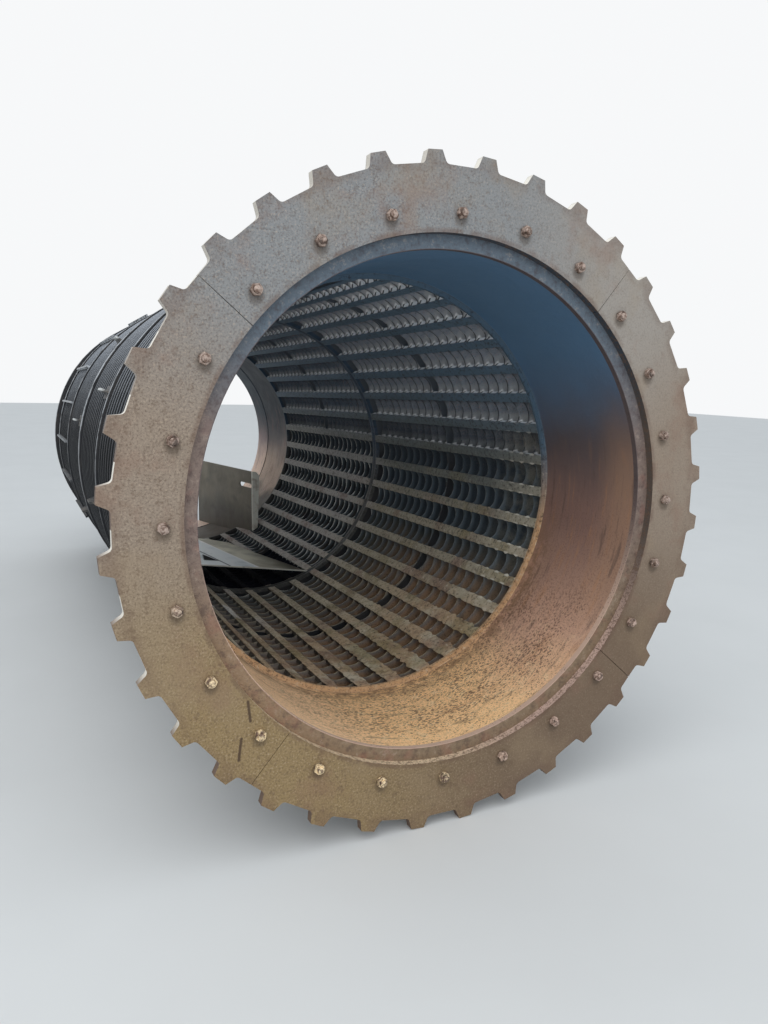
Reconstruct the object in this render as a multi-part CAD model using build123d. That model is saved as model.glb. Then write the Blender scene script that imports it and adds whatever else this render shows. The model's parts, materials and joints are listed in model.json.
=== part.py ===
from build123d import *

import os
from math import atan2, copysign, cos, degrees, radians, sin

# The screening drum of a trommel, lying free on a level floor.
# It is drawn in the drum's own frame: the axis along +Y, the sprocket's front face at y = 0, +Z up.
# Angles are in degrees from +X towards +Z, seen from the sprocket end; lengths are millimetres.

# Drive sprocket, flame-cut from plate in quarters
tooth_count = 36
tooth_height = 38
tooth_tip_width = 47
tooth_root_width = 74
tooth_root_fillet = 15
sprocket_thickness = 30
quarter_count = 4
quarter_gap = 2

# Ring of bolts that holds the quarters to the drum, and how far the plates reach past it
bolt_count = 24
bolts_outside_bore = 100
bolt_hole_radius = 11
rim_outside_bolts = 134
margin_inside_bolts = 57
flange_outside_bolts = 65

# Plain shells and the rings at their ends
drum_bore_radius = 800
shell_wall = 12
feed_shell_length = 505
discharge_shell_length = 563
collar_length = 288
drive_flange_thickness = 20
shell_flange_thickness = 25

# Screen bays: flat bars along the drum, hoops on edge round them, a ring at each end
bay_length = 1648
bar_count = 36
first_bar_angle = 7.4
bar_width = 40
bar_depth = 20
cells_per_half_bay = 11
hoop_height = 120
hoop_thickness = 8
rings_above_hoops = 20
seam_thickness = 16
outer_ring_thickness = 12
joint_ring_thickness = 25
joint_groove = 6

# Plates on edge that stiffen the last half bay
gusset_count = 24
first_gusset_angle = 12
gusset_thickness = 12
gusset_height = 30
hoop_clearance = 0.5

# Fixing cleats behind the first seam ring and behind the bolted joint of the bays
cleat_pitch_in_bars = 3
cleat_width = 60
cleat_base_thickness = 10
cleat_cells = 2
cleat_overhang = 12
cleat_fin_height = 38
cleat_fin_thickness = 10
cleat_cells_behind_ring = 2

# Upright plate inside the discharge end, with a bent front edge and a slot
weld_gap = 0.3
plate_thickness = 10
plate_x = 394
plate_top = -222
plate_start_in_bay = 1312
plate_length = 1180
plate_turn = 7.5
plate_edge_width = 54
plate_edge_foot = 30
plate_edge_round = 44
slot_length = 232
slot_width = 34
slot_below_top = 112
slot_from_edge = 14

# Bent sheet across the second bay: a lip on a bar, the other end on the joint ring
# Its ridge and plan are given from the centre plane, the lowest bar's face and the joint
sheet_thickness = 8
sheet_rest_bar = 22
sheet_lip = 36
sheet_foot_angle = 295.3
sheet_ridge_x = 36
sheet_ridge_height = 117
sheet_plan = [(345, 10), (318, 55), (261, 240), (165, 520), (76, 856), (-49, 953), (-560, 953),
              (-560, 10)]

# Sizes and places worked out from the lengths above
bolt_circle_radius = drum_bore_radius + bolts_outside_bore
tooth_root_radius = bolt_circle_radius + rim_outside_bolts
tooth_tip_radius = tooth_root_radius + tooth_height
sprocket_bore_radius = bolt_circle_radius - margin_inside_bolts
drive_flange_radius = bolt_circle_radius + flange_outside_bolts
tooth_pitch = 360 / tooth_count
bar_pitch = 360 / bar_count
shell_radius = drum_bore_radius + shell_wall
bar_inner = drum_bore_radius - bar_depth
hoop_outer = drum_bore_radius + hoop_height
ring_radius = hoop_outer + rings_above_hoops
cell_length = bay_length / 2 / cells_per_half_bay
feed_start = sprocket_thickness + drive_flange_thickness
bay_1_start = feed_start + feed_shell_length
bay_1_end = bay_1_start + bay_length
joint_face = bay_1_end + joint_ring_thickness
bay_2_start = joint_face + joint_ring_thickness
bay_2_end = bay_2_start + bay_length
collar_start = bay_2_end + discharge_shell_length
drum_end = collar_start + collar_length


def polar(radius, angle):
    """A point of a flat outline, at a radius and an angle."""
    return radius * cos(radians(angle)), radius * sin(radians(angle))


def across(outline, start, thickness):
    """Stands a flat outline square to the axis, from start towards the discharge end."""
    return Pos(0, start + thickness, 0) * Rot(90, 0, 0) * extrude(outline, thickness)


def round_ring(inner, outer, start, thickness):
    """A round ring or a length of shell."""
    return across(Circle(outer) - Circle(inner), start, thickness)


def bar_polygon(distance):
    """An outline with one flat for each bar, the flats at a distance from the axis."""
    turn = Rot(0, 0, first_bar_angle - bar_pitch / 2)
    return turn * RegularPolygon(distance, bar_count, major_radius=False)


def turned(piece, angle):
    """Turns a piece drawn at angle 0, towards +X, round the drum."""
    return Rot(0, -angle, 0) * piece


def bolt_holes():
    return [Pos(*polar(bolt_circle_radius, 360 * i / bolt_count)) * Circle(bolt_hole_radius)
            for i in range(bolt_count)]


def tooth_corners(angle):
    """Root, tip, tip and root corner of one tooth, in order of angle."""
    half_root = degrees(tooth_root_width / 2 / tooth_root_radius)
    half_tip = degrees(tooth_tip_width / 2 / tooth_tip_radius)
    return [polar(tooth_root_radius, angle - half_root), polar(tooth_tip_radius, angle - half_tip),
            polar(tooth_tip_radius, angle + half_tip), polar(tooth_root_radius, angle + half_root)]


def sprocket_quarters():
    """The toothed ring with its bolt holes, sawn into quarters between teeth."""
    corners = [corner for i in range(tooth_count)
               for corner in tooth_corners(tooth_pitch * (i + 0.5))]
    outline = make_face(Polyline(*corners, close=True))
    middle_radius = (tooth_root_radius + tooth_tip_radius) / 2
    roots = [v for v in outline.vertices() if Vector(v.X, v.Y).length < middle_radius]
    outline = fillet(roots, tooth_root_fillet)
    outline -= Circle(sprocket_bore_radius)
    outline -= bolt_holes()
    first_saw = tooth_pitch * round(360 / quarter_count / 2 / tooth_pitch + 0.5)
    for i in range(quarter_count):
        saw = Rectangle(tooth_tip_radius, quarter_gap, align=(Align.MIN, Align.CENTER))
        outline -= Rot(0, 0, first_saw + 360 * i / quarter_count) * saw
    quarters = across(outline, 0, sprocket_thickness).solids()

    def order(quarter):
        centre = quarter.center()
        return (degrees(atan2(centre.Z, centre.X)) - first_saw) % 360

    return sorted(quarters, key=order)


def drive_flange():
    outline = Circle(drive_flange_radius) - Circle(drum_bore_radius) - bolt_holes()
    return across(outline, sprocket_thickness, drive_flange_thickness)


def bay_bars(start):
    """Flat bars on the hoops' inner flats, between the two end rings of a bay."""
    length = bay_length - outer_ring_thickness
    bar = Pos(drum_bore_radius - bar_depth / 2, start + length / 2, 0) * Box(
        bar_depth, length, bar_width)
    return [turned(bar, first_bar_angle + bar_pitch * i) for i in range(bar_count)]


def half_bay_hoops(start):
    """The hoops of half a bay, folded to one flat for each bar."""
    outline = bar_polygon(hoop_outer) - bar_polygon(drum_bore_radius)
    centres = [start + cell_length * (i + 1) for i in range(cells_per_half_bay - 1)]
    return [across(outline, centre - hoop_thickness / 2, hoop_thickness) for centre in centres]


def seam_ring(bay_start):
    """The taller ring at the middle of a bay, round outside, with a flat for each bar inside."""
    outline = Circle(ring_radius) - bar_polygon(drum_bore_radius)
    return across(outline, bay_start + (bay_length - seam_thickness) / 2, seam_thickness)


def joint_ring(thickness):
    """A bay's ring at the bolted joint, its mating face at the joint, the inner edge relieved."""
    groove = copysign(joint_groove, thickness)
    profile = Polyline((bar_inner, joint_face + groove), (bar_inner + joint_groove, joint_face),
                       (ring_radius, joint_face), (ring_radius, joint_face + thickness),
                       (bar_inner, joint_face + thickness), close=True)
    return revolve(make_face(profile), Axis.Y)


def gussets():
    """Upright plates welded between the last seam ring and the bay's end ring, clear of the hoops."""
    foot = hoop_outer / cos(radians(bar_pitch / 2)) + hoop_clearance
    front = bay_2_start + (bay_length + seam_thickness) / 2
    length = bay_2_end - outer_ring_thickness - front
    plate = Pos(foot + gusset_height / 2, front + length / 2, 0) * Box(
        gusset_height, length, gusset_thickness)
    step = 360 / gusset_count
    return [turned(plate, first_gusset_angle + step * i) for i in range(gusset_count)]


def cleats(centre, first_bar):
    """Small cleats that lie across the hoops' flats, each with an upright fin."""
    length = cell_length * cleat_cells + hoop_thickness + 2 * cleat_overhang
    base = Pos(hoop_outer + cleat_base_thickness / 2, centre, 0) * Box(
        cleat_base_thickness, length, cleat_width)
    top = hoop_outer + cleat_base_thickness
    side = Polyline((top, centre - length / 2), (top, centre + length / 2),
                    (top + cleat_fin_height, centre + length / 4),
                    (top + cleat_fin_height, centre - length / 4), close=True)
    fin = extrude(make_face(side), cleat_fin_thickness / 2, both=True)
    cleat = base + fin
    return [turned(cleat, first_bar_angle + bar_pitch * i)
            for i in range(first_bar, bar_count, cleat_pitch_in_bars)]


def deflector_plate():
    """The upright plate, trimmed to the bars, the end ring and the shell that it stands on."""
    start = bay_2_start + plate_start_in_bay
    height = plate_top + drum_bore_radius
    web = Pos(0, plate_length / 2, plate_top - height / 2) * Box(plate_thickness, plate_length, height)
    slot = Rot(0, 90, 0) * extrude(SlotOverall(slot_length, slot_width, rotation=90),
                                   plate_thickness, both=True)
    web -= Pos(0, slot_from_edge + slot_length / 2, plate_top - slot_below_top) * slot
    edge = make_face(Polyline((0, plate_top), (plate_edge_width, plate_top),
                              (plate_edge_foot, plate_top - height), (0, plate_top - height),
                              close=True))
    edge = fillet(edge.vertices().sort_by(Axis.X)[-1], plate_edge_round)
    plate = web + across(edge, 0, plate_thickness)
    plate = Pos(plate_x, start, 0) * Rot(0, 0, plate_turn) * plate
    shell_side = bay_2_end + weld_gap
    in_bay = across(Circle(bar_inner - weld_gap), bay_2_start, shell_side - bay_2_start)
    in_shell = across(Circle(drum_bore_radius - weld_gap), shell_side, plate_length)
    return (plate & (in_bay + in_shell)).solid()


def liner_sheet():
    """The bent sheet: a lip lies flat on a bar, and the far end stands on the joint ring."""
    rest = first_bar_angle + bar_pitch * sheet_rest_bar

    def on_bar(along, above):
        away, beside = polar(bar_inner - above, rest), polar(along, rest + 90)
        return away[0] + beside[0], away[1] + beside[1]

    def line(above):
        """The sheet's section at a height above what it rests on, carried on past its foot."""
        ridge = (sheet_ridge_x, sheet_ridge_height - bar_inner + above)
        foot = polar(bar_inner - above, sheet_foot_angle)
        past = (2 * foot[0] - ridge[0], 2 * foot[1] - ridge[1])
        return [on_bar(-sheet_lip / 3, above), on_bar(2 * sheet_lip / 3, above), ridge, past]

    lower, upper = line(weld_gap), line(weld_gap + sheet_thickness)
    section = make_face(Polyline(*lower, *reversed(upper), close=True))
    plan = make_face(Polyline(*[(x, joint_face + y) for x, y in sheet_plan], close=True))
    reach = max(y for x, y in sheet_plan)
    cutter = Pos(0, 0, -drum_bore_radius) * extrude(plan, drum_bore_radius)
    inside = across(Circle(bar_inner - weld_gap), joint_face, reach)
    return (across(section, joint_face, reach) & cutter & inside).solid()


def build_nodes():
    """Every node of the drum, as a list of solids in the drum's own frame."""
    nodes = {}
    for i, quarter in enumerate(sprocket_quarters()):
        nodes[f"sprocket_segment_{i + 1}"] = [quarter]
    nodes["drive_flange"] = [drive_flange()]
    nodes["feed_shell"] = [round_ring(drum_bore_radius, shell_radius, feed_start, feed_shell_length)]
    nodes["feed_end_flange"] = [round_ring(
        shell_radius, ring_radius, bay_1_start - shell_flange_thickness, shell_flange_thickness)]
    nodes["bay_1_front_ring"] = [round_ring(
        bar_inner, ring_radius, bay_1_start, outer_ring_thickness)]
    nodes["bay_1_bars"] = bay_bars(bay_1_start + outer_ring_thickness)
    nodes["bay_1_joint_ring"] = [joint_ring(-joint_ring_thickness)]
    nodes["bay_2_joint_ring"] = [joint_ring(joint_ring_thickness)]
    nodes["bay_2_bars"] = bay_bars(bay_2_start)
    nodes["bay_2_rear_ring"] = [round_ring(
        bar_inner, ring_radius, bay_2_end - outer_ring_thickness, outer_ring_thickness)]
    for bay, start in ((1, bay_1_start), (2, bay_2_start)):
        nodes[f"bay_{bay}_front_ribs"] = half_bay_hoops(start)
        nodes[f"bay_{bay}_seam_ring"] = [seam_ring(start)]
        nodes[f"bay_{bay}_rear_ribs"] = half_bay_hoops(start + bay_length / 2)
    to_cleats = cleat_cells_behind_ring * cell_length
    nodes["bay_1_cleats"] = cleats(bay_1_start + bay_length / 2 + to_cleats, 0)
    nodes["bay_2_cleats"] = cleats(bay_2_start + to_cleats, 1)
    nodes["rear_gussets"] = gussets()
    nodes["discharge_flange"] = [round_ring(
        shell_radius, ring_radius, bay_2_end, shell_flange_thickness)]
    nodes["discharge_shell"] = [round_ring(
        drum_bore_radius, shell_radius, bay_2_end, discharge_shell_length)]
    nodes["collar_flange"] = [round_ring(
        shell_radius, ring_radius, collar_start - shell_flange_thickness, shell_flange_thickness)]
    nodes["discharge_collar"] = [round_ring(
        drum_bore_radius, shell_radius, collar_start, collar_length)]
    nodes["deflector_plate"] = [deflector_plate()]
    nodes["liner_sheet"] = [liner_sheet()]
    return nodes


def resting_slope():
    """The angle by which the axis drops from the teeth, which stand taller, to the last ring."""
    tooth_angle = tooth_pitch / 2 - degrees(tooth_tip_width / 2 / tooth_tip_radius)
    front_drop = tooth_tip_radius * cos(radians(tooth_angle))
    return degrees(atan2(front_drop - ring_radius, collar_start - sprocket_thickness))


slope = Rot(-resting_slope(), 0, 0)
sloped = {name: Compound(solids).moved(slope) for name, solids in build_nodes().items()}
reach = Compound(list(sloped.values())).bounding_box()
to_floor = Pos(-reach.center().X, -reach.center().Y, -reach.min.Z)
os.makedirs("parts", exist_ok=True)
for name, piece in sloped.items():
    export_step(piece.moved(to_floor), f"parts/{name}.step")
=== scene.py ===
import json
from math import atan2, cos, pi, radians, sin

import bmesh
import bpy
import numpy as np
from mathutils import Matrix, Vector


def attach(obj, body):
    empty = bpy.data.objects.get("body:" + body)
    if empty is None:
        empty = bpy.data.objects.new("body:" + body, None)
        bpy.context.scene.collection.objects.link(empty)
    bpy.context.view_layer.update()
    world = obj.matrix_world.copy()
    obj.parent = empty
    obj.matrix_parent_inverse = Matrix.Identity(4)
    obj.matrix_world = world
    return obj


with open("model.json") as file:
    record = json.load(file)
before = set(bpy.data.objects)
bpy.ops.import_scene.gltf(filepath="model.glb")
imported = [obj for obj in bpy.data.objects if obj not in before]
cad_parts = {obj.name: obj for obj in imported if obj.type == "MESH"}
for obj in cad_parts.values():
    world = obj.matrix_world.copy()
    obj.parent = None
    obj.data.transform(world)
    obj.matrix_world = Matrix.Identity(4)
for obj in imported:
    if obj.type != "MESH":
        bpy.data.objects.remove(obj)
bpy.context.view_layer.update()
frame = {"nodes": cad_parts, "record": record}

# The drum lies on a level floor, and its axis drops a little towards the discharge end.
# Its own frame, in metres, has the axis along +Y and the sprocket's front face at y = 0.
# The ring of sprocket bolts gives that axis and the face between sprocket and flange.
bolt_ring = next(m for m in frame["record"]["mounts"] if m["name"] == "sprocket_bolts")
sprocket_thickness = 0.030
bolt_circle = bolt_ring["dims"]["pcd_mm"] / 2000
bolt_count = bolt_ring["dims"]["count"]
axis = -np.array(bolt_ring["axis"])
slope = atan2(-axis[2], axis[1])
drum_origin = np.array(bolt_ring["pos_m"]) - sprocket_thickness * axis


def placed(points):
    """Points of the drum's frame in the row frame: turned about X by the slope, then shifted."""
    x, y, z = np.moveaxis(np.asarray(points, float), -1, 0)
    along = y * cos(slope) + z * sin(slope)
    upward = z * cos(slope) - y * sin(slope)
    return np.stack([x, along, upward], -1) + drum_origin


def around(radius, angle, y):
    """Points on circles round the axis: (radius cos angle, y, radius sin angle)."""
    radius, angle, y = np.broadcast_arrays(radius, angle, y)
    return np.stack([radius * np.cos(angle), y, radius * np.sin(angle)], -1)


# Sprocket quarters: 30 mm plate, flame cut, under an even olive-brown rust with a fine grain.
# The crown is weathered grey, the foot darker. The cut edges carry a painted highlight where they
# face up and at the crown, and painted shade elsewhere. The bore edge has a painted highlight below
# and painted shade above, and a rust stain with a painted shadow lies below each nut.
sprocket_tones = {"crown": (130, 132, 133), "right crown": (150, 143, 135),
                  "side": (142, 127, 112), "left foot": (142, 120, 84),
                  "right foot": (112, 93, 75)}
cut_edge_highlight_tone = (236, 230, 218)
bore_edge_highlight_tone = (212, 188, 156)
stain_and_shadow_tone = (74, 60, 48)
tooth_pitch = 2 * pi / 36
tooth_root = 1.034
sprocket_bore = 0.843
stain_and_shadow_drop = 0.012
# Two dark streaks on the face at the lower left, each from x, z to x, z.
rust_streaks = [(-0.671, -0.529, -0.664, -0.590), (-0.692, -0.640, -0.701, -0.706)]
streak_width = 0.0065


def paint(red, green, blue):
    """The shader colour of a display colour from 0 to 255: its power of 2.2."""
    return tuple((v / 255) ** 2.2 for v in (red, green, blue)) + (1.0,)


class Reading:
    """A number read at each point of a surface: arithmetic on it adds the Math node it needs."""

    def __init__(self, nodes, socket):
        self.nodes, self.socket = nodes, socket

    def beside(self, output):
        """Another output of the node that this reading comes from."""
        return Reading(self.nodes, self.socket.node.outputs[output])

    def math(self, operation, *others):
        """The Math node's operation on this reading and the others."""
        return self.nodes.node(
            "ShaderNodeMath", {"operation": operation}, dict(enumerate((self,) + others)))

    def __add__(self, other):
        return self.math("ADD", other)

    def __sub__(self, other):
        return self.math("SUBTRACT", other)

    def __mul__(self, other):
        return self.math("MULTIPLY", other)

    def __truediv__(self, other):
        return self.math("DIVIDE", other)

    def __pow__(self, other):
        return self.math("POWER", other)

    def __neg__(self):
        return self * -1.0

    def __rsub__(self, other):
        return -self + other

    __radd__ = __add__
    __rmul__ = __mul__

    def rise(self, low, high):
        """0 at low and 1 at high, smooth between; low may be the larger of the two."""
        return self.nodes.node("ShaderNodeMapRange", {"interpolation_type": "SMOOTHSTEP"},
                               {"Value": self, "From Min": low, "From Max": high}, "Result")


class Nodes:
    """The nodes of a material or world, all made by one method."""

    def __init__(self, owner):
        owner.use_nodes = True
        self.tree = owner.node_tree
        self.tree.nodes.clear()

    def node(self, kind, settings=None, sockets=None, out=0):
        """Adds a node: its settings first, then the values or links of its sockets. Gives one of
        its outputs, or nothing for a node without any."""
        made = self.tree.nodes.new(kind)
        for key, value in (settings or {}).items():
            setattr(made, key, value)
        for key, value in (sockets or {}).items():
            if isinstance(value, Reading):
                self.tree.links.new(value.socket, made.inputs[key])
            else:
                made.inputs[key].default_value = value
        return Reading(self, made.outputs[out]) if made.outputs else None


class Finish(Nodes):
    """A material made of nodes. Its place is the point in the drum's frame, in metres; radius is
    the distance from the axis, and up runs from -1 at the foot to 1 at the crown."""

    def __init__(self, name):
        self.material = bpy.data.materials.new(name)
        super().__init__(self.material)
        here = self.node("ShaderNodeTexCoord", out="Object")
        shift = -(Matrix.Rotation(slope, 3, "X") @ Vector(drum_origin))
        self.place = self.node("ShaderNodeMapping", {}, {
            "Vector": here, "Rotation": (slope, 0, 0), "Location": shift}, "Vector")
        self.x = self.node("ShaderNodeSeparateXYZ", {}, {0: self.place}, "X")
        self.y, self.z = self.x.beside("Y"), self.x.beside("Z")
        self.radius = (self.x * self.x + self.z * self.z) ** 0.5
        self.up = self.z / self.radius

    def turn(self):
        """The angle round the axis, 0 to the right and rising upwards, from -pi to pi."""
        return self.z.math("ARCTAN2", self.x)

    def stretched(self, stretch, shift):
        """The place times a factor along each axis, plus a shift that makes a new pattern."""
        return self.node("ShaderNodeVectorMath", {"operation": "MULTIPLY_ADD"},
                         {0: self.place, 1: stretch, 2: (shift, shift * 1.7, shift * 2.3)})

    def cloud(self, scale, detail=3, shift=0.0, stretch=(1, 1, 1), rough=0.55):
        """Soft noise from 0 to 1, centred on a half."""
        return self.node("ShaderNodeTexNoise", {}, {
            "Vector": self.stretched(stretch, shift), "Scale": scale, "Detail": detail,
            "Roughness": rough})

    def grains(self, scale, shift=0.0, stretch=(1, 1, 1)):
        """The distance to the nearest of many scattered points, about 0 to 0.8."""
        return self.node("ShaderNodeTexVoronoi", {}, {
            "Vector": self.stretched(stretch, shift), "Scale": scale}, "Distance")

    def mix(self, first, second, share):
        """A colour from first to second as share goes from 0 to 1."""
        colours = {6: first, 7: second}
        colours = {k: paint(*c) if isinstance(c, tuple) else c for k, c in colours.items()}
        return self.node("ShaderNodeMix", {"data_type": "RGBA"}, {0: share, **colours}, 2)

    def done(self, colour, roughness, metallic, height, depth):
        """Joins colour, gloss and a bump of the height, in metres of depth, into the surface."""
        normal = self.node("ShaderNodeBump", {}, {
            "Height": height, "Distance": depth, "Strength": 0.9}, "Normal")
        surface = self.node("ShaderNodeBsdfPrincipled", {}, {
            "Base Color": colour, "Roughness": roughness, "Metallic": metallic,
            "Normal": normal}, "BSDF")
        self.node("ShaderNodeOutputMaterial", {}, {"Surface": surface})
        return self.material


def dress(finish_material, *names):
    """Gives CAD nodes their finish."""
    for name in names:
        mesh = frame["nodes"][name].data
        mesh.materials.clear()
        mesh.materials.append(finish_material)


def streak_mark(f, x0, z0, x1, z1, width):
    """1 on a straight line across the face, 0 beyond its width: the distance to the segment is
    taken from the nearest point, whose share along it is held between 0 and 1."""
    dx, dz = x1 - x0, z1 - z0
    share = ((f.x - x0) * dx + (f.z - z0) * dz) / (dx * dx + dz * dz)
    share = share.math("MAXIMUM", 0.0).math("MINIMUM", 1.0)
    off_x, off_z = f.x - x0 - share * dx, f.z - z0 - share * dz
    return ((off_x * off_x + off_z * off_z) ** 0.5).rise(width, width * 0.3)


def sprocket_finish():
    """Plate rust: tones by height and side, fine grain, and cut edges with a painted highlight where
    they face up and painted shade elsewhere. The bore edge has a painted highlight below and painted
    shade above. Dark rust stains with a painted shadow lie under the nuts, and there are two dark
    streaks."""
    f = Finish("sprocket_rust")
    drift = (f.cloud(1.8, 4, 3.0) - 0.5) * 0.35
    foot = f.mix(sprocket_tones["left foot"], sprocket_tones["right foot"],
                 (f.x + drift).rise(-0.55, 0.45))
    tone = f.mix(foot, sprocket_tones["side"], (f.up + drift).rise(-0.6, 0.05))
    crown = f.mix(sprocket_tones["crown"], sprocket_tones["right crown"], f.x.rise(0.1, 0.7))
    tone = f.mix(tone, crown, (f.up + drift).rise(0.25, 0.75))
    rough = f.x.rise(0.7, -0.2) * 0.6 + 0.4
    grain = f.cloud(150.0, 3, 7.0, rough=0.75)
    coarse = f.cloud(55.0, 4, 23.0, rough=0.75)
    tone = f.mix(tone, (78, 62, 50), grain.rise(0.50, 0.32) * rough * 0.65)
    tone = f.mix(tone, (188, 168, 146), grain.rise(0.52, 0.70) * rough * 0.5)
    tone = f.mix(tone, (92, 72, 58), coarse.rise(0.52, 0.68) * rough * 0.45)
    brown = f.cloud(5.0, 5, 11.0, rough=0.65)
    tone = f.mix(tone, (128, 96, 80), brown.rise(0.50, 0.68) * 0.35)
    tone = f.mix(tone, (146, 126, 100), f.cloud(4.0, 4, 53.0).rise(0.5, 0.7) * 0.3)
    by_bore = f.radius.rise(sprocket_bore + 0.019, sprocket_bore + 0.005)
    edge = by_bore + f.radius.rise(tooth_root - 0.034, tooth_root - 0.004) * 0.6
    tone = f.mix(tone, (96, 72, 60), (edge * f.cloud(14.0, 4, 31.0).rise(0.36, 0.60)) * 0.5)
    turn = f.turn()
    step = 2 * pi / bolt_count
    nearest = (turn / step).math("ROUND") * step
    # A rust stain with a painted shadow below each nut: distance from a point dropped below the bolt.
    from_x = f.x - nearest.math("COSINE") * bolt_circle
    from_z = f.z - nearest.math("SINE") * bolt_circle + stain_and_shadow_drop
    below_nut = (from_x * from_x + from_z * from_z * 0.7) ** 0.5 + (coarse - 0.5) * 0.02
    tone = f.mix(tone, stain_and_shadow_tone, below_nut.rise(0.030, 0.014) * 0.50)
    for streak in rust_streaks:
        tone = f.mix(tone, (66, 48, 36), streak_mark(f, *streak, streak_width) * 0.85)
    back = f.y.rise(sprocket_thickness - 0.0001, sprocket_thickness - 0.0010)
    sides = f.y.rise(0.0008, 0.0022) * back
    # Painted highlight on the tooth flanks that face up and round the crown, painted shade on the
    # other cut edges.
    share = (turn / tooth_pitch) - 0.5
    upward = (share - share.math("ROUND")) * f.x.math("SIGN")
    pale = upward.rise(0.10, 0.22) * f.up.rise(-0.70, -0.50) + f.up.rise(0.1, 0.7) * 0.7
    cut_edge_lit_and_shaded = f.mix((98, 78, 66), cut_edge_highlight_tone, pale)
    teeth = sides * f.radius.rise(tooth_root - 0.084, tooth_root - 0.034)
    tone = f.mix(tone, cut_edge_lit_and_shaded, teeth * 0.9)
    # The bore's wall: a painted highlight at the foot, painted shade above it, blue-grey at the
    # crown.
    bore = sides * f.radius.rise(sprocket_bore + 0.004, sprocket_bore + 0.001)
    bore_wall_lit_and_shaded = f.mix(bore_edge_highlight_tone, (190, 162, 148), f.x.rise(-0.1, 0.4))
    bore_wall_lit_and_shaded = f.mix((84, 76, 70), bore_wall_lit_and_shaded, f.up.rise(-0.1, -0.7))
    bore_wall_lit_and_shaded = f.mix(bore_wall_lit_and_shaded, (54, 64, 74), f.up.rise(0.2, 0.7))
    bore_wall_lit_and_shaded = f.mix(bore_wall_lit_and_shaded, (104, 82, 66), coarse.rise(0.50, 0.62) * 0.7)
    bore_wall_lit_and_shaded = f.mix(bore_wall_lit_and_shaded, (84, 66, 56), grain.rise(0.50, 0.38) * 0.7)
    tone = f.mix(tone, bore_wall_lit_and_shaded, bore)
    height = grain * 0.6 + coarse * 0.5
    return f.done(tone, coarse * 0.3 + 0.55, 0.1, height, 0.0014)


dress(sprocket_finish(), *(f"sprocket_segment_{i}" for i in range(1, 5)))


# Drive flange: 20 mm plate behind the sprocket, brown below and blue-grey at the crown, that
# blue-grey being painted shade.
# The sprocket is bolted to its face, and the feed shell is welded to its back.
flange_back = sprocket_thickness + 0.020
shell_bore = 0.800


def flange_finish():
    """Brown rust, fine grained and streaked across, with painted shade in blue-grey at the crown; its
    bore is purplish and pitted, paler at the foot as a painted highlight and darker above as painted
    shade.
    """
    f = Finish("flange_rust")
    drift = (f.cloud(3.0, 4, 5.0) - 0.5) * 0.3
    foot = f.mix((142, 116, 90), (130, 110, 88), (f.x + drift).rise(-0.7, -0.1))
    tone = f.mix(foot, (126, 109, 100), (f.up + drift).rise(-0.6, 0.0))
    # Painted shade: blue-grey towards the crown.
    tone = f.mix(tone, (92, 104, 115), (f.up + drift).rise(0.15, 0.7))
    streak = f.cloud(42.0, 5, 8.0, rough=0.75)
    tone = f.mix(tone, (66, 50, 50), streak.rise(0.52, 0.34) * 0.5)
    tone = f.mix(tone, (186, 168, 152), streak.rise(0.54, 0.68) * 0.3)
    red = f.cloud(16.0, 4, 18.0).rise(0.5, 0.66) * (f.up.rise(0.6, 0.0) * 0.25)
    tone = f.mix(tone, (146, 92, 80), red)
    pits = f.grains(120.0, 3.0).rise(0.36, 0.14) * f.cloud(12.0, 3, 8.0).rise(0.38, 0.55)
    inner = f.radius.rise(shell_bore + 0.0025, shell_bore + 0.0010)
    # The bore: a painted highlight at the foot, painted shade above.
    tone = f.mix(tone, f.mix((204, 172, 152), (86, 76, 76), f.up.rise(-0.6, 0.1)), inner * 0.9)
    tone = f.mix(tone, (84, 62, 66), pits * (inner * 0.5 + 0.25))
    height = f.cloud(90.0, 4, 2.0, rough=0.7) - pits * 0.4
    return f.done(tone, f.cloud(20.0, 3, 6.0) * 0.3 + 0.5, 0.1, height, 0.0014)


dress(flange_finish(), "drive_flange")


# Sprocket bolts: 20 mm studs through sprocket and flange, with a hexagon nut at each end.
# They are brown and pinkish, rusted over, and every nut stopped at an angle of its own.
nut_flat = 0.0155
nut_height = 0.016
stud_radius = 0.010
stud_end = 0.024
chance = np.random.default_rng(4734)


def grid_faces(rows, columns, first=0):
    """Quads of a grid of points numbered row by row, whose last column joins the first."""
    r = np.arange(rows - 1)[:, None]
    c = np.arange(columns)[None, :]
    after = (c + 1) % columns
    corners = [r * columns + c, (r + 1) * columns + c, (r + 1) * columns + after, r * columns + after]
    return first + np.stack(corners, -1).reshape(-1, 4)


def make_piece(name, points, faces, finish_material, smooth_angle=35, rub=None):
    """A mesh piece of the drum from its own points and quads, facing outwards, on the root body.
    Rub is a number for each point that tells its material how worn the point is."""
    mesh = bpy.data.meshes.new(name)
    mesh.from_pydata(placed(points).tolist(), [], faces.tolist())
    if rub is not None:
        mesh.attributes.new("rub", "FLOAT", "POINT").data.foreach_set("value", rub)
    work = bmesh.new()
    work.from_mesh(mesh)
    bmesh.ops.remove_doubles(work, verts=work.verts, dist=1e-6)
    bmesh.ops.recalc_face_normals(work, faces=work.faces)
    work.to_mesh(mesh)
    work.free()
    mesh.shade_smooth()
    mesh.set_sharp_from_angle(angle=radians(smooth_angle))
    mesh.materials.append(finish_material)
    piece = bpy.data.objects.new(name, mesh)
    bpy.context.scene.collection.objects.link(piece)
    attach(piece, "root")


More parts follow.
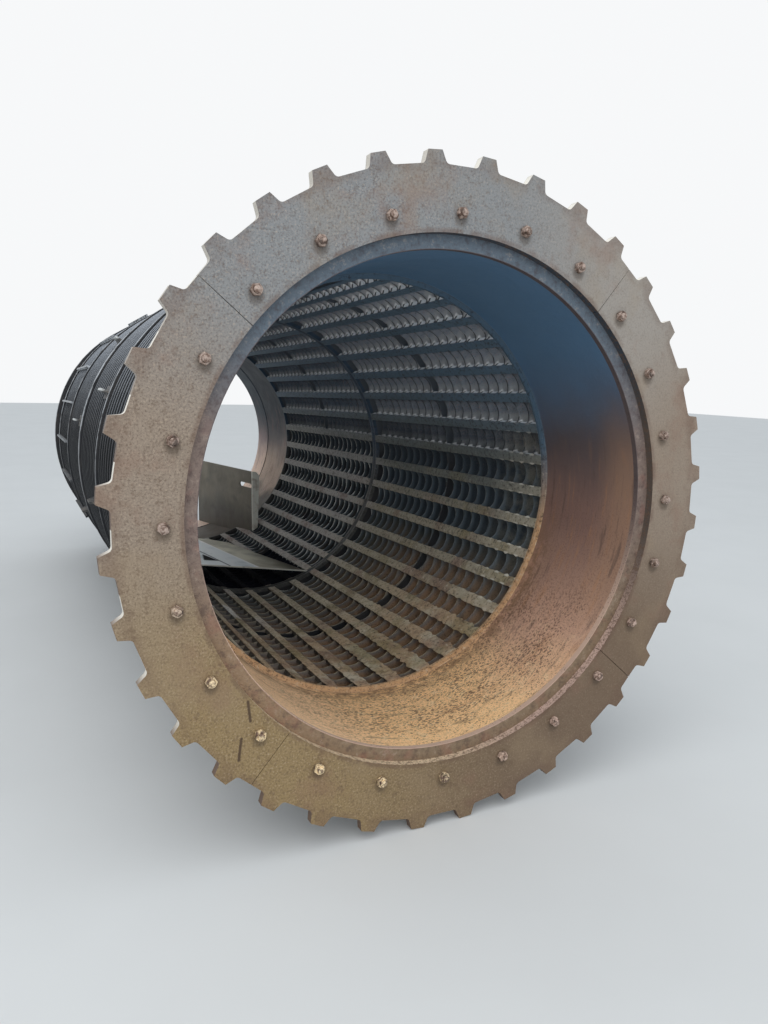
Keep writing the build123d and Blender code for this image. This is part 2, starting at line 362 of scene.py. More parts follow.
def fastener(profile, sides=36):
    """A bolt end as a grid: each row is a circle (height, round radius) or, with a flat distance,
    a hexagon cut off at the round radius: the smaller of round and flat / cos(angle in its sixth)."""
    turn = np.arange(sides) * 2 * pi / sides
    in_sixth = (turn + pi / 6) % (pi / 3) - pi / 6
    rows = []
    for height, round_radius, flat in profile:
        reach = np.full(sides, round_radius)
        if flat:
            reach = np.minimum(reach, flat / np.cos(in_sixth))
        rows.append(np.stack([reach * np.cos(turn), reach * np.sin(turn),
                              np.full(sides, height)], -1))
    return np.array(rows)


def set_fasteners(shape, radius, angles, height, direction):
    """Copies of one bolt end round the drum, at one radius and the given angles. Each is turned by
    chance about its own line, and rises from the height along the axis in the given direction."""
    rows, sides = shape.shape[:2]
    spin = chance.uniform(0, pi / 3, len(angles))[:, None, None]
    u = shape[..., 0] * np.cos(spin) - shape[..., 1] * np.sin(spin)
    v = shape[..., 0] * np.sin(spin) + shape[..., 1] * np.cos(spin)
    a = angles[:, None, None]
    x = (radius + u) * np.cos(a) - v * np.sin(a)
    z = (radius + u) * np.sin(a) + v * np.cos(a)
    y = height + direction * shape[..., 2] + 0 * x
    points = np.stack([x, y, z], -1).reshape(-1, 3)
    faces = np.concatenate([grid_faces(rows, sides, i * rows * sides) for i in range(len(angles))])
    return points, faces


def joined(parts):
    """One list of points and one of faces from several (points, faces) pairs."""
    starts = np.cumsum([0] + [len(points) for points, faces in parts[:-1]])
    return (np.concatenate([points for points, faces in parts]),
            np.concatenate([faces + start for (points, faces), start in zip(parts, starts)]))


def nut_profile(flat, height, stud, end):
    """Rows of a nut chamfered at both faces and of a threaded stud end, from the seat to the tip."""
    corner = flat / cos(pi / 6)
    rows = [(-0.001, stud, 0), (-0.001, flat * 0.98, flat), (0.0012, corner, flat),
            (height - 0.0022, corner, flat), (height, flat * 0.98, flat),
            (height, stud * 1.15, 0), (height - 0.0012, stud, 0)]
    for k in range(3):
        rows += [(height + 0.0014 * (k + 0.5), stud * 0.92, 0), (height + 0.0014 * (k + 1), stud, 0)]
    return rows + [(end - 0.0012, stud, 0), (end, stud * 0.82, 0), (end, stud * 0.02, 0)]


def bolt_finish(name, dark, pale, left_foot, right_foot):
    """Rust in patches of a dark and a pale tone, with darker blotches and pits. At the drum's foot
    two other tones, left and right, take the pale one's place."""
    f = Finish(name)
    foot = f.mix(left_foot, right_foot, f.x.rise(-0.1, 0.3))
    pale = f.mix(pale, foot, f.up.rise(-0.1, -0.6))
    tone = f.mix(dark, pale, f.cloud(90.0, 4, 4.0).rise(0.36, 0.62))
    tone = f.mix(tone, tuple(0.55 * v for v in dark), f.cloud(45.0, 5, 9.0).rise(0.5, 0.66) * 0.8)
    specks = f.grains(300.0, 2.0).rise(0.34, 0.12)
    tone = f.mix(tone, tuple(0.4 * v for v in dark), specks * 0.6)
    return f.done(tone, f.cloud(40.0, 2, 7.0) * 0.3 + 0.45, 0.25, f.cloud(220.0, 4) - specks * 0.4,
                  0.0008)


bolt_rust = bolt_finish("bolt_rust", (112, 90, 78), (180, 160, 148), (246, 220, 176),
                        (204, 176, 160))
bolt_angles = np.arange(bolt_count) * 2 * pi / bolt_count
front_nut = fastener(nut_profile(nut_flat, nut_height, stud_radius, stud_end))
points, faces = joined([
    set_fasteners(front_nut, bolt_circle, bolt_angles, 0, -1),
    set_fasteners(front_nut, bolt_circle, bolt_angles, flange_back, 1)])
make_piece("sprocket_nuts", points, faces, bolt_rust)


# Feed shell: 12 mm plate rolled to 1.6 m bore. Material sliding in keeps the lower part orange-tan
# and pitted with dark flecks, and its brightness there is partly painted light; the sides are brown
# with runs round the bore. The crown is blue-grey, partly mill scale and partly painted shade. A
# painted pool of light brightens the lower left.
shell_outer = 0.812
wall_middle = (shell_bore + shell_outer) / 2


def shell_finish():
    """Tones by height from orange-tan, bright partly as painted light, through brown to blue-grey,
    partly painted shade; a painted pool of light at the lower left; runs, then flecks low down.
    """
    f = Finish("feed_shell_rust")
    level = f.up + (f.cloud(2.6, 5, 12.0) - 0.5) * 0.28
    runs = f.cloud(5.0, 5, 21.0, (1.0, 7.0, 1.0), 0.65)
    # Orange-tan floor: partly worn by the load, its brightness partly painted light.
    tone = f.mix((255, 208, 152), (210, 167, 141), level.rise(-0.98, -0.62))
    tone = f.mix(tone, (136, 107, 97), level.rise(-0.75, -0.15) * f.x.rise(-0.3, 0.1))
    # Painted pool of light on the lower left of the floor.
    tone = f.mix(tone, (255, 212, 166), f.x.rise(-0.1, -0.4) * level.rise(-0.2, -0.5) * 0.9)
    tone = f.mix(tone, (92, 84, 86), level.rise(-0.15, 0.3))
    # Blue-grey crown: partly mill scale, partly painted shade.
    tone = f.mix(tone, (86, 120, 152), level.rise(0.2, 0.7))
    near_lip = f.y.rise(0.27, 0.10) * level.rise(0.5, 0.05) * level.rise(-0.8, -0.3)
    tone = f.mix(tone, (164, 130, 106), near_lip * 0.65)
    tone = f.mix(tone, (176, 128, 92), runs.rise(0.52, 0.70) * level.rise(0.45, -0.2) * 0.5)
    tone = f.mix(tone, (70, 60, 58), runs.rise(0.46, 0.30) * level.rise(0.5, -0.1) * 0.5)
    dusty = f.cloud(30.0, 4, 6.0).rise(0.52, 0.7) * level.rise(-0.5, -0.9)
    tone = f.mix(tone, (246, 216, 172), dusty * 0.5)
    grit = f.cloud(150.0, 3, 26.0, rough=0.75)
    tone = f.mix(tone, (96, 70, 60), grit.rise(0.50, 0.34) * level.rise(0.2, -0.3) * 0.45)
    low = level.rise(-0.25, -0.72) * f.x.rise(-0.7, -0.2)
    patch = f.cloud(6.0, 4, 14.0)
    away = f.y.rise(0.06, 0.22) * 0.16 + (patch - 0.5) * 0.5
    fleck = (f.grains(104.0, 9.0, (0.55, 1.0, 0.8)) - away).rise(0.26, 0.12) * low
    fine = (f.grains(210.0, 4.0, (0.6, 1.0, 0.8)) - away * 0.8).rise(0.28, 0.12) * low
    tone = f.mix(tone, (92, 66, 52), fleck * 0.75)
    tone = f.mix(tone, (112, 80, 62), fine * 0.65)
    inmost = f.y.rise(0.40, 0.53) * level.rise(0.0, -0.5)
    caked = inmost * f.cloud(24.0, 5, 44.0, rough=0.7).rise(0.35, 0.60)
    tone = f.mix(tone, (120, 94, 70), caked * 0.7)
    outer = f.mix((44, 46, 50), (84, 72, 64), f.cloud(4.0, 6, 33.0).rise(0.5, 0.72))
    tone = f.mix(tone, outer, f.radius.rise(wall_middle - 0.0005, wall_middle + 0.0005))
    height = f.cloud(60.0, 4, 3.0, rough=0.7) - fleck * 0.5 - fine * 0.3
    return f.done(tone, f.cloud(9.0, 4, 19.0) * 0.35 + 0.42, 0.1, height, 0.0018)


dress(shell_finish(), "feed_shell")


# Rings of the drum: end rings, seam rings, flanges and gussets, all of black weathered plate.
# Their outer edges and the inner edge that the load rubs are worn bright and dusty; towards the top
# the outer edges and the gussets' edges carry a painted highlight as well.
ring_names = ["feed_end_flange", "bay_1_front_ring", "bay_1_seam_ring", "bay_1_joint_ring",
              "bay_2_joint_ring", "bay_2_seam_ring", "bay_2_rear_ring", "rear_gussets",
              "discharge_flange", "collar_flange"]
bar_inner = 0.780
hoop_inner = 0.800
ring_radius = 0.940
gusset_edge = 0.954


def ring_finish():
    """Near-black plate with brown blooms and rims rubbed paler, more so towards the top as a painted
    highlight, and a painted highlight on the gussets' top edges; the inner edge is scaly, tan and
    flecked on the first ring that the load meets and grey on the others."""
    f = Finish("ring_plate")
    level = f.up + (f.cloud(3.0, 4, 31.0) - 0.5) * 0.3
    tone = f.mix((38, 40, 44), (62, 60, 60), f.cloud(3.5, 6, 8.0).rise(0.42, 0.68))
    tone = f.mix(tone, (84, 70, 60), f.cloud(8.0, 6, 15.0).rise(0.58, 0.76) * 0.5)
    # Rims rubbed pale, brighter towards the top as a painted highlight.
    rim = f.radius.rise(ring_radius - 0.004, ring_radius - 0.0005)
    rubbed = f.cloud(16.0, 4, 5.0).rise(0.3, 0.55) * level.rise(-0.5, 0.6)
    tone = f.mix(tone, (190, 194, 198), rim * rubbed * 0.85)
    inside = f.radius.rise(ring_radius - 0.035, ring_radius - 0.080) * level.rise(-0.1, 0.3)
    tone = f.mix(tone, (84, 92, 100), inside * 0.8)
    # Painted highlight on the gussets' outer edges at the top.
    gusset_top_highlight = f.radius.rise(gusset_edge - 0.0020, gusset_edge - 0.0005) * f.up.rise(0.0, 0.4)
    tone = f.mix(tone, (150, 152, 154), gusset_top_highlight * 0.8)
    inner = f.radius.rise(hoop_inner + 0.004, hoop_inner - 0.004)
    first = f.y.rise(0.66, 0.60)
    scale = f.cloud(55.0, 5, 2.0, rough=0.75)
    low = f.mix((76, 76, 74), (196, 160, 122), first)
    worn = f.mix(low, f.mix((54, 74, 94), (84, 106, 124), first), level.rise(-0.3, 0.25))
    flakes = scale.rise(0.54, 0.68) * (first * 0.5 + 0.15) * level.rise(0.4, -0.1)
    worn = f.mix(worn, (206, 196, 174), flakes)
    worn = f.mix(worn, (52, 46, 40), scale.rise(0.48, 0.34) * 0.7)
    flecks = f.grains(110.0, 6.0).rise(0.34, 0.16) * first * level.rise(-0.4, -0.7)
    worn = f.mix(worn, (86, 64, 50), flecks * 0.7)
    tone = f.mix(tone, worn, inner)
    height = f.cloud(70.0, 4, 3.0, rough=0.65) + scale * inner * 1.5
    return f.done(tone, f.cloud(14.0, 3, 2.0) * 0.3 + 0.42, 0.25, height, 0.0020)


ring_plate = ring_finish()
dress(ring_plate, *ring_names)


# Screen bars: 36 flat bars in each bay, 40 by 20 mm, worn brown-grey with packed olive dirt.
# A crust of scale and dirt with ragged edges covers the faces that the load runs over. It lies
# widest and thickest at the foot by the feed end, round the angle and place given here.
bar_count = 36
bar_pitch = 2 * pi / bar_count
first_bar = radians(7.4)
bar_width = 0.040
bay_length = 1.648
bay_1_start = 0.555
bay_2_start = 2.253
outer_ring = 0.012
cells_per_half_bay = 11
hoop_pitch = bay_length / 2 / cells_per_half_bay
bay_starts = {"bay_1": bay_1_start, "bay_2": bay_2_start}
bar_runs = {"bay_1": (bay_1_start + outer_ring, bay_1_start + bay_length),
            "bay_2": (bay_2_start, bay_2_start + bay_length - outer_ring)}
crust_rows = 190
crust_columns = 7
overlap = 0.0012
sheet_bottom = -0.664
sheet_tilt = 0.14
dirt_angle = radians(-72)
dirt_turn = radians(30)
dirt_place = 0.75
dirt_length = 0.50


def sheet_shadow(f):
    """1 where painted shadow fills the hollow under the bent sheet of the second bay, 0 elsewhere."""
    below = -(f.z + f.x * sheet_tilt - sheet_bottom)
    return below.rise(-0.004, 0.004) * f.y.rise(2.252, 2.258) * f.y.rise(3.15, 3.05)


def from_bar(f):
    """Distance round the drum from the nearest bar's middle line, counted upwards on both sides."""
    share = (f.turn() - first_bar) / bar_pitch
    return (share - share.math("ROUND")) * bar_pitch * f.radius * f.x.math("SIGN")


def from_hoop(f, start):
    """Distance along the axis from the nearest hoop, for the bay that starts there."""
    share = (f.y - start) / hoop_pitch
    return ((share - share.math("ROUND")) * hoop_pitch).math("ABSOLUTE")


def bar_finish(bay, start):
    """Tan-grey, brown and olive dirt below, blue-grey towards the crown, paler at the drum's ends and
    by the discharge end as painted light. Painted whitish highlights of wet sheen lie in streaks at
    the left foot. The sides carry painted shade, those that face up a painted highlight between the
    hoops; painted shadow lies under the bent sheet."""
    f = Finish(f"{bay}_bar_dirt")
    level = f.up + (f.cloud(2.0, 4, 41.0) - 0.5) * 0.3
    grit = f.cloud(60.0, 5, 5.0, rough=0.8)
    tone = f.mix((186, 172, 146), (160, 150, 130), level.rise(-0.95, -0.45))
    tone = f.mix(tone, (106, 110, 106), level.rise(-0.4, 0.05))
    tone = f.mix(tone, (92, 116, 136), level.rise(0.05, 0.6))
    # Paler towards both ends of the drum; by the discharge end this is painted light.
    end_share_and_far_light = f.y.rise(1.0, 0.62) + f.y.rise(2.9, 3.6) * 0.8
    tone = f.mix(tone, (206, 196, 174), end_share_and_far_light * level.rise(0.3, -0.1) * 0.45)
    packed = f.y.rise(1.7, 1.0) * level.rise(-0.55, -0.8)
    tone = f.mix(tone, (176, 146, 114), packed * f.cloud(7.0, 4, 71.0).rise(0.35, 0.55) * 0.8)
    tone = f.mix(tone, (178, 172, 168), f.y.rise(1.8, 2.6) * level.rise(0.3, -0.2) * 0.75)
    olive = f.y.rise(2.4, 1.6) * f.cloud(5.0, 5, 13.0).rise(0.48, 0.64) * level.rise(0.2, -0.4)
    tone = f.mix(tone, (128, 116, 76), olive * 0.6)
    brown = f.cloud(4.0, 4, 27.0).rise(0.50, 0.66) * level.rise(0.0, -0.5)
    tone = f.mix(tone, (128, 96, 84), brown * 0.6)
    left_foot = f.x.rise(-0.05, -0.30) * level.rise(-0.5, -0.75) * f.y.rise(1.25, 1.6)
    along = f.cloud(9.0, 4, 81.0, (1.0, 0.35, 1.0)).rise(0.46, 0.58)
    # Painted highlights of wet sheen, in whitish streaks at the left foot.
    sheen_streaks = left_foot * f.y.rise(2.25, 2.15) * along
    tone = f.mix(tone, (226, 222, 216), sheen_streaks * 0.75)
    tone = f.mix(tone, (46, 40, 34), grit.rise(0.50, 0.36) * 0.75)
    tone = f.mix(tone, (216, 208, 190), grit.rise(0.56, 0.70) * level.rise(0.5, -0.5) * 0.65)
    above = from_bar(f)
    hoop = from_hoop(f, start)
    lumps = above.math("ABSOLUTE").rise(0.013, 0.019) * hoop.rise(0.020, 0.010)
    lumps = lumps * end_share_and_far_light * level.rise(0.5, 0.0) * level.rise(-0.75, -0.5)
    tone = f.mix(tone, (224, 220, 208), lumps * 0.8)
    # Painted shade on the bars' sides; then a painted highlight on the sides that face up, between
    # the hoops.
    side = f.radius.rise(bar_inner + 0.0025, bar_inner + 0.0040)
    tone = f.mix(tone, (44, 46, 46), side * 0.85)
    lit = side * above.rise(0.0175, 0.0190) * f.up.rise(0.02, 0.25) * hoop.rise(0.012, 0.020)
    tone = f.mix(tone, (244, 248, 252), lit * 0.95)
    # Painted shadow in the hollow under the bent sheet.
    tone = f.mix(tone, (12, 18, 32), sheet_shadow(f))
    gloss = f.cloud(25.0, 3, 9.0) * 0.3 + 0.5 + sheet_shadow(f) * 0.3
    return f.done(tone, gloss, 0.1, grit, 0.0034)


def wander(shape, most_waves, wave_count):
    """Smooth random waves along the last axis, about -1 to 1: a sum of cosines, each of chance
    phase and size, of evenly spaced numbers of waves up to the most."""
    t = np.linspace(0, 1, shape[-1])
    total = np.zeros(shape)
    for k in range(1, wave_count + 1):
        phase = chance.uniform(0, 2 * pi, shape[:-1] + (1,))
        size = chance.uniform(0.4, 1.0, shape[:-1] + (1,)) / wave_count ** 0.5
        total += size * np.cos(2 * pi * t * most_waves * k / wave_count + phase)
    return total


def bar_crust(run):
    """A crust on every bar's inner face, over rows along the bar and columns across it: across =
    column share times a ragged half width, height nearly 0 at the edges and lumpy between. Dirt
    lies wider and thicker at the foot by the feed end: a bell curve in angle and along the axis."""
    start, end = run
    count = crust_rows
    y = np.linspace(start + 0.001, end - 0.001, count)
    share = np.linspace(-1, 1, crust_columns)
    to_hoop = (y - end + hoop_pitch / 2) % hoop_pitch - hoop_pitch / 2
    lump_at_hoop = np.exp(-(to_hoop / 0.010) ** 2) * chance.uniform(0.2, 1, (bar_count, 2, 1))
    lump_at_hoop = lump_at_hoop * (0.0025 + 0.0045 * np.exp(-(y - start) / 0.25))
    half_width = bar_width / 2 + lump_at_hoop + 0.0018 * wander((bar_count, 2, count), 60, 14)
    angle = first_bar + bar_pitch * np.arange(bar_count)
    to_foot = (angle - dirt_angle + pi) % (2 * pi) - pi
    dirt = np.exp(-(to_foot[:, None] / dirt_turn) ** 2 - ((y - dirt_place) / dirt_length) ** 2)
    half_width = np.clip(half_width, 0.0165, 0.0290)
    half_width = half_width + dirt[:, None] * (0.014 + 0.005 * wander((bar_count, 2, count), 40, 12))
    side = np.where(share < 0, half_width[:, 0, :, None], half_width[:, 1, :, None])
    across = side * share
    lump = 0.0016 + 0.0010 * wander((bar_count, crust_columns, count), 55, 14).transpose(0, 2, 1)
    lump = np.clip(lump, 0.0004, 0.005) * (1 - share ** 4) + 0.0002
    top = bar_inner - lump * (1 + 1.2 * dirt[..., None])
    bottom = np.full_like(top, bar_inner + overlap)
    loop_r = np.concatenate([top, bottom[..., ::-1]], -1)
    loop_t = np.concatenate([across, across[..., ::-1]], -1)
    a = angle[:, None, None]
    x = loop_r * np.cos(a) - loop_t * np.sin(a)
    z = loop_r * np.sin(a) + loop_t * np.cos(a)
    points = np.stack([x, np.broadcast_to(y[None, :, None], x.shape), z], -1)
    columns = 2 * crust_columns
    tube = grid_faces(count, columns)
    cap = np.array([[i, i + 1, columns - 2 - i, columns - 1 - i] for i in range(crust_columns - 1)])
    shell = np.concatenate([tube, cap, cap + (count - 1) * columns])
    faces = np.concatenate([shell + i * count * columns for i in range(bar_count)])
    return points.reshape(-1, 3), faces


for bay, run in bar_runs.items():
    bar_material = bar_finish(bay, bay_starts[bay])
    dress(bar_material, f"{bay}_bars")
    points, faces = bar_crust(run)
    make_piece(f"{bay}_bar_crust", points, faces, bar_material, 50)


# Screen hoops: 120 by 8 mm flat bar on edge, black outside. Between the bars the inner edge is
# worn to a shallow arch that runs up to the bars' faces, and its rim is rubbed pale.
hoop_thickness = 0.008
hoop_outer = 0.920
hoop_rim = 0.932
arch_steps = 8
arch_power = 2.4
arch_spread = 0.0015


def hoop_finish():
    """Dark plate: brown-olive below, blue-black at the sides, grey with pinkish grit at the crown,
    that grey painted light.
    Paler towards the worn inner edges, dusty by the feed end. Each cell has a painted highlight at
    its lower end, white in its corner, and painted shade at its upper end. The rubbed inner edges
    have painted shade at the crown. Thin rims outside carry a painted highlight on top, and painted
    shadow lies under the bent sheet."""
    f = Finish("hoop_plate")
    level = f.up + (f.cloud(2.4, 4, 6.0) - 0.5) * 0.25
    grit = f.cloud(120.0, 4, 2.0, rough=0.7)
    tone = f.mix((88, 80, 66), (64, 66, 60), level.rise(-0.9, -0.6))
    tone = f.mix(tone, (36, 48, 58), level.rise(-0.6, -0.2))
    # Painted light: grey towards the crown, where sky light falls on the hoop faces.
    tone = f.mix(tone, (132, 140, 150), level.rise(0.05, 0.5))
    tone = f.mix(tone, (20, 23, 25), f.y.rise(2.1, 2.5) * level.rise(0.1, -0.2) * 0.85)
    tone = f.mix(tone, (72, 90, 106), f.y.rise(2.2, 2.6) * level.rise(0.1, 0.4) * 0.75)
    near = f.y.rise(2.3, 1.1) * level.rise(-0.35, -0.75)
    tone = f.mix(tone, (158, 124, 94), near * 0.85)
    dust = f.y.rise(1.05, 0.62) * level.rise(-0.7, -0.3) * level.rise(0.5, 0.1)
    tone = f.mix(tone, (116, 112, 100), dust * f.cloud(12.0, 4, 60.0).rise(0.35, 0.6) * 0.8)
    brown = f.cloud(9.0, 5, 4.0).rise(0.5, 0.66) * level.rise(-0.2, -0.8)
    tone = f.mix(tone, (92, 76, 60), brown * 0.6)
    tone = f.mix(tone, (18, 22, 26), grit.rise(0.5, 0.34) * 0.5)
    tone = f.mix(tone, (146, 112, 104), grit.rise(0.53, 0.66) * level.rise(-0.1, 0.5) * 0.7)
    worn = f.radius.rise(hoop_inner + 0.026, hoop_inner) * level.rise(0.2, -0.1)
    tone = f.mix(tone, (92, 104, 112), worn * 0.55)
    above = from_bar(f)
    # Painted highlight at the lower end of each cell, painted shade at its upper end.
    lower_end_highlight = above.rise(0.062, 0.028) * above.rise(0.0, 0.004) * level.rise(0.05, 0.3)
    tone = f.mix(tone, (206, 206, 204), lower_end_highlight * 0.45)
    upper_end_shade = above.rise(-0.062, -0.026) * above.rise(0.004, 0.0) * level.rise(0.05, 0.3)
    tone = f.mix(tone, (52, 60, 68), upper_end_shade * 0.7)
    # Painted highlight: a white spot in the lower corner of each cell.
    corner = above.rise(0.031, 0.023) * above.rise(0.0, 0.004) * level.rise(0.05, 0.2)
    corner = corner * f.radius.rise(hoop_inner + 0.017, hoop_inner + 0.006)
    tone = f.mix(tone, (255, 255, 255), corner)
    tone = f.mix(tone, (17, 18, 21), f.radius.rise(hoop_inner + 0.050, hoop_inner + 0.070) * 0.95)
    rub = f.node("ShaderNodeAttribute", {"attribute_name": "rub"}, out="Fac")
    edge = f.mix((150, 138, 114), (98, 106, 110), level.rise(-0.85, -0.45))
    edge = f.mix(edge, (240, 240, 234), f.y.rise(1.8, 2.5))
    # Painted shade on the rubbed inner edges towards the crown.
    edge = f.mix(edge, (24, 32, 40), level.rise(-0.1, 0.25))
    edge = f.mix(edge, (48, 46, 42), f.cloud(30.0, 4, 16.0).rise(0.46, 0.66) * 0.7)
    tone = f.mix(tone, edge, rub.rise(0.0, 1.0) * 0.35 + rub.rise(0.88, 0.99) * 0.5)
    # Painted highlight on the outer rims, strongest on top.
    rim = f.radius.rise(hoop_rim - 0.0042, hoop_rim - 0.0022)
    rim_highlight = level.rise(0.1, 0.75) * 0.8 + 0.06
    tone = f.mix(tone, (158, 163, 170), rim * rim_highlight)
    # Painted shadow in the hollow under the bent sheet.
    tone = f.mix(tone, (12, 18, 32), sheet_shadow(f))
    gloss = f.cloud(18.0, 3, 8.0) * 0.3 + 0.45 + sheet_shadow(f) * 0.35
    return f.done(tone, gloss, 0.1, grit, 0.0012)


def hoop_places(start):
    """Places along the axis of the ten hoops of each half bay and the seam ring between them."""
    return start + hoop_pitch * np.arange(1, 2 * cells_per_half_bay)


def arches(start):
    """Worn arches in every cell of every hoop, over steps across the cell:
    inner radius = crown - (crown - springing) |share|^2.4, outer radius just inside the hoop. Crown,
    springing and lean are drawn by chance for every cell."""
    places = hoop_places(start)
    share = np.linspace(-1, 1, arch_steps + 1)
    half_gap = bar_inner * np.tan(bar_pitch / 2) - bar_width / 2 / cos(bar_pitch / 2) + overlap
    cells = (len(places), bar_count, 1)
    crown = hoop_inner + 0.0025 + arch_spread * chance.standard_normal(cells)
    springing = bar_inner + 0.0015 + arch_spread * chance.standard_normal(cells)
    lean = 0.12 * chance.standard_normal(cells)
    bent = np.abs(share + lean * (1 - share ** 2)) ** arch_power
    inner = crown - (crown - springing) * np.clip(bent, 0, 1)
    outer = np.full_like(inner, hoop_inner + 0.006)
    thick = hoop_thickness / 2 + 0.0003
    radius = np.stack([inner, inner, outer, outer], -1)
    across = share[:, None] * half_gap * (radius / bar_inner)
    side = thick * np.array([-0.7, 0.7, 1, -1])
    angle = first_bar + bar_pitch * (np.arange(bar_count) + 0.5)
    a = angle[None, :, None, None]
    x = radius * np.cos(a) - across * np.sin(a)
    z = radius * np.sin(a) + across * np.cos(a)
    y = places[:, None, None, None] + side + 0 * x
    points = np.stack([x, y, z], -1).reshape(-1, 3)
    rows = arch_steps + 1
    tube = grid_faces(rows, 4)
    end_share_and_far_light = np.array([[0, 1, 2, 3], [4 * rows - 4, 4 * rows - 3, 4 * rows - 2, 4 * rows - 1]])
    one = np.concatenate([tube, end_share_and_far_light])
    starts = np.arange(len(places) * bar_count)[:, None, None] * rows * 4
    rub = np.tile([1.0, 1.0, 0.0, 0.0], len(points) // 4)
    return points, (one[None] + starts).reshape(-1, 4), rub


def hoop_rims(start):
    """Round rims of a bay's hoops outside their folded flats: for each hoop a ring of rectangular
    section over the turn, its outer corners taken off by 1 mm."""
    turn = np.linspace(0, 2 * pi, 145)
    half = hoop_thickness / 2 + 0.0004
    radius = np.array([hoop_outer - 0.006, hoop_rim - 0.001, hoop_rim, hoop_rim,
                       hoop_rim - 0.001, hoop_outer - 0.006])
    side = half * np.array([-1, -1, -0.75, 0.75, 1, 1])
    places = [y for y in hoop_places(start) if abs(y - start - bay_length / 2) > 0.01]
    points = [around(radius, turn[:, None], y + side) for y in places]
    count = len(turn) * len(radius)
    faces = [grid_faces(len(turn), len(radius), i * count) for i in range(len(places))]
    return np.concatenate(points).reshape(-1, 3), np.concatenate(faces)


hoop_plate = hoop_finish()
for bay, start in bay_starts.items():
    dress(hoop_plate, f"{bay}_front_ribs", f"{bay}_rear_ribs")
    points, faces, rub = arches(start)
    make_piece(f"{bay}_hoop_arches", points, faces, hoop_plate, 40, rub)
    points, faces = hoop_rims(start)
    make_piece(f"{bay}_hoop_rims", points, faces, hoop_plate, 40)


# Bolts of the three flange joints: 16 mm bolts with hexagon heads and nuts, on one pitch circle.
# They hold the feed shell, the two bays and the discharge shell end to end.
joint_bolt_count = 24
joint_bolt_radius = 0.910
joint_bolt_flat = 0.012
joint_bolt_corner = 0.0138
washer_radius = 0.0150
shell_flange = 0.025
bay_1_end = bay_1_start + bay_length
bay_2_end = bay_2_start + bay_length
joint_angles = radians(19.5) + np.arange(joint_bolt_count) * 2 * pi / joint_bolt_count
joint_faces = [(bay_1_start - shell_flange, bay_1_start + outer_ring), (bay_1_end, bay_2_start),
               (bay_2_end - outer_ring, bay_2_end + shell_flange)]
seat = [(-0.001, 0.006, 0), (-0.001, washer_radius, 0), (0.0025, washer_radius, 0),
        (0.0028, joint_bolt_flat, joint_bolt_flat), (0.0040, joint_bolt_corner, joint_bolt_flat)]
head = fastener(seat + [
    (0.0110, joint_bolt_corner, joint_bolt_flat), (0.0128, 0.0115, joint_bolt_flat),
    (0.0132, 0.0002, 0)], 24)
nut = fastener(seat + [
    (0.0135, joint_bolt_corner, joint_bolt_flat), (0.0150, 0.0115, joint_bolt_flat),
    (0.0150, 0.0080, 0), (0.0210, 0.0080, 0), (0.0222, 0.0068, 0), (0.0222, 0.0002, 0)], 24)
points, faces = joined([
    set_fasteners(shape, joint_bolt_radius, joint_angles, face, direction)
    for low, high in joint_faces for shape, face, direction in ((head, low, -1), (nut, high, 1))])
dark_bolts = bolt_finish("dark_bolts", (40, 42, 45), (84, 84, 84), (78, 72, 66), (78, 72, 66))
make_piece("joint_bolts", points, faces, dark_bolts)


# Cleats: steel feet that lie across three hoops, each with an upright fin with sloping ends.
# Dark and weathered, with the fins' outer edges and corners rubbed bright.
fin_top = 0.968


def cleat_finish():
    """Dark weathered steel, pale on the outermost edges of the fins."""
    f = Finish("cleat_plate")
    tone = f.mix((50, 52, 54), (96, 90, 84), f.cloud(14.0, 5, 6.0).rise(0.4, 0.68))
    rubbed = f.radius.rise(fin_top - 0.020, fin_top - 0.002)
    rubbed = rubbed + f.cloud(34.0, 4, 3.0).rise(0.52, 0.70) * 0.5
    tone = f.mix(tone, (204, 206, 204), rubbed.math("MINIMUM", 1.0) * f.up.rise(-0.1, 0.3) * 0.85)
    return f.done(tone, f.cloud(22.0, 3, 5.0) * 0.3 + 0.42, 0.35, f.cloud(90.0, 4, 7.0), 0.0010)


dress(cleat_finish(), "bay_1_cleats", "bay_2_cleats")


# Discharge shell and collar: the far end of the drum, plain rolled plate in two lengths.
# Both are blue-black at the crown; lower down the shell is grey-brown, the collar pinkish brown.
def discharge_finish(name, crown, side, low, floor):
    """Dull rust from crown to floor in four tones, with soft runs and dark specks low down."""
    f = Finish(name)
    level = f.up + (f.cloud(3.0, 5, 12.0) - 0.5) * 0.45
    tone = f.mix(floor, low, level.rise(-0.62, -0.45))
    tone = f.mix(tone, side, level.rise(-0.35, 0.05))
    tone = f.mix(tone, crown, level.rise(-0.15, 0.30))
    runs = f.cloud(5.0, 5, 30.0, (1.0, 5.0, 1.0), 0.65)
    tone = f.mix(tone, (134, 88, 78), runs.rise(0.52, 0.7) * level.rise(0.6, 0.1) * 0.45)
    tone = f.mix(tone, (58, 56, 56), runs.rise(0.46, 0.3) * 0.4)
    specks = f.grains(80.0, 5.0).rise(0.3, 0.14) * level.rise(0.0, -0.6)
    tone = f.mix(tone, (60, 50, 44), specks * 0.7)
    outer = f.mix((46, 49, 53), (88, 74, 66), f.cloud(4.5, 6, 3.0).rise(0.5, 0.72))
    tone = f.mix(tone, outer, f.radius.rise(wall_middle - 0.0005, wall_middle + 0.0005))
    return f.done(tone, f.cloud(9.0, 4, 9.0) * 0.3 + 0.45, 0.2, f.cloud(45.0, 4, 3.0), 0.0015)


dress(discharge_finish("discharge_shell_rust", (24, 34, 47), (120, 108, 104), (204, 176, 154),
                       (90, 81, 68)), "discharge_shell")
dress(discharge_finish("collar_rust", (44, 56, 66), (164, 140, 136), (246, 214, 192),
                       (246, 214, 192)), "discharge_collar")


